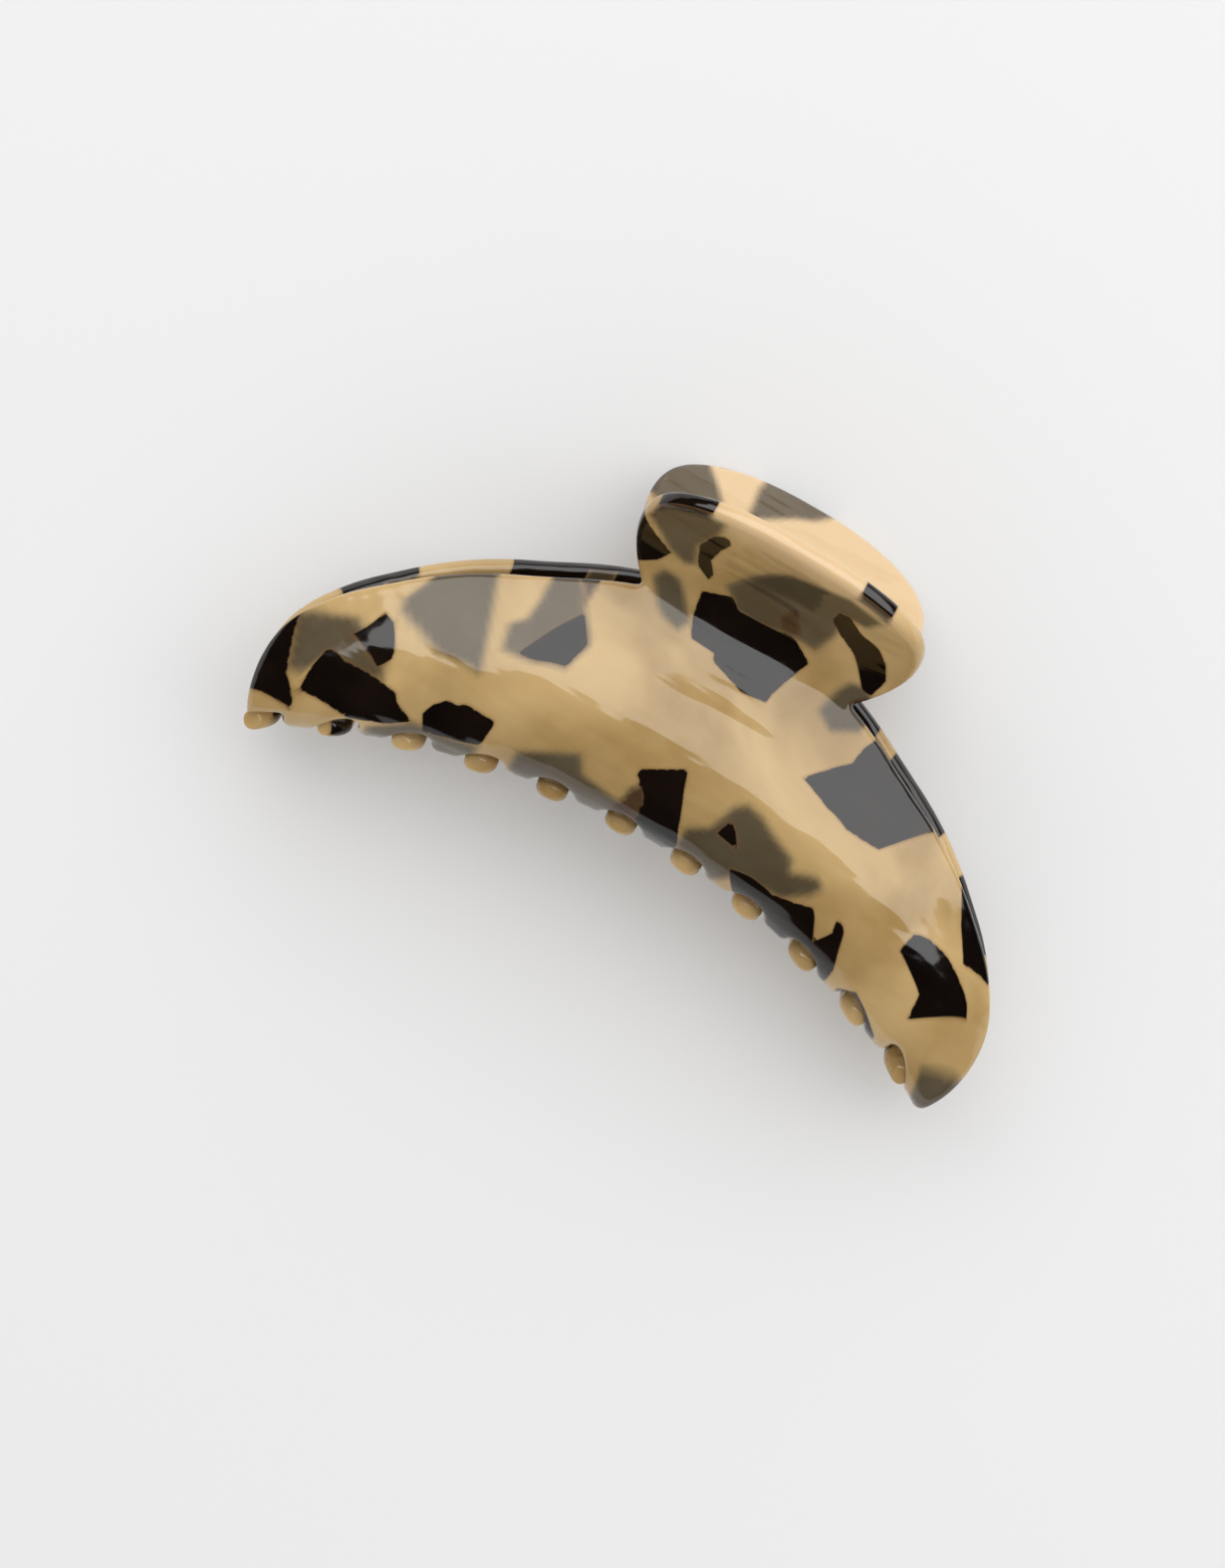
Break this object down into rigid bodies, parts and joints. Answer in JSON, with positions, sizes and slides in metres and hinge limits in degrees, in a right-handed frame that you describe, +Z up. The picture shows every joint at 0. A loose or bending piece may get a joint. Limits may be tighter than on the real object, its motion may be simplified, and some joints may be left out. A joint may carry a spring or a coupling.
{
  "type": "claw clip",
  "caption": "Crescent claw clip for hair: two toothed jaws of tortoise-pattern acetate with thumb tabs, joined at the neck by a blind steel hinge with a torsion spring.",
  "frame": {"origin": "Centre of the box's underside: the surface that the closed clip lies on, under the middle of its box.", "axes": "+X runs along the crescent, +Y runs from the teeth towards the thumb tabs, +Z is up from the surface. The clip lies on its rear jaw, and its mid-plane is tilted 10 degrees about X, tab side up."},
  "size_m": [0.1096, 0.0652, 0.045],
  "materials": {
    "tortoise_acetate": "polished cellulose acetate, cream and tan with black-brown chips",
    "hinge_steel": "satin nickel-plated steel strip",
    "rivet_steel": "bright drawn steel",
    "spring_wire": "drawn spring wire"
  },
  "bodies": {
    "rear": {"rear_jaw": "tortoise_acetate", "rear_hinge_leaf": "hinge_steel", "rear_leaf_rivets": "rivet_steel", "hinge_pin": "rivet_steel", "torsion_spring": "spring_wire"},
    "front": {"front_jaw": "tortoise_acetate", "front_hinge_leaf": "hinge_steel", "front_leaf_rivets": "rivet_steel"}
  },
  "joints": [
    {"name": "jaw_hinge", "type": "hinge", "parent": "rear", "child": "front", "pos_m": [0, 0.01168, 0.01979], "axis": [-1, 0, 0], "range_deg": [0, 85], "stiffness_Nm_per_rad": 0.12, "springref_deg": -34.38, "deforming": ["torsion_spring"]}
  ]
}
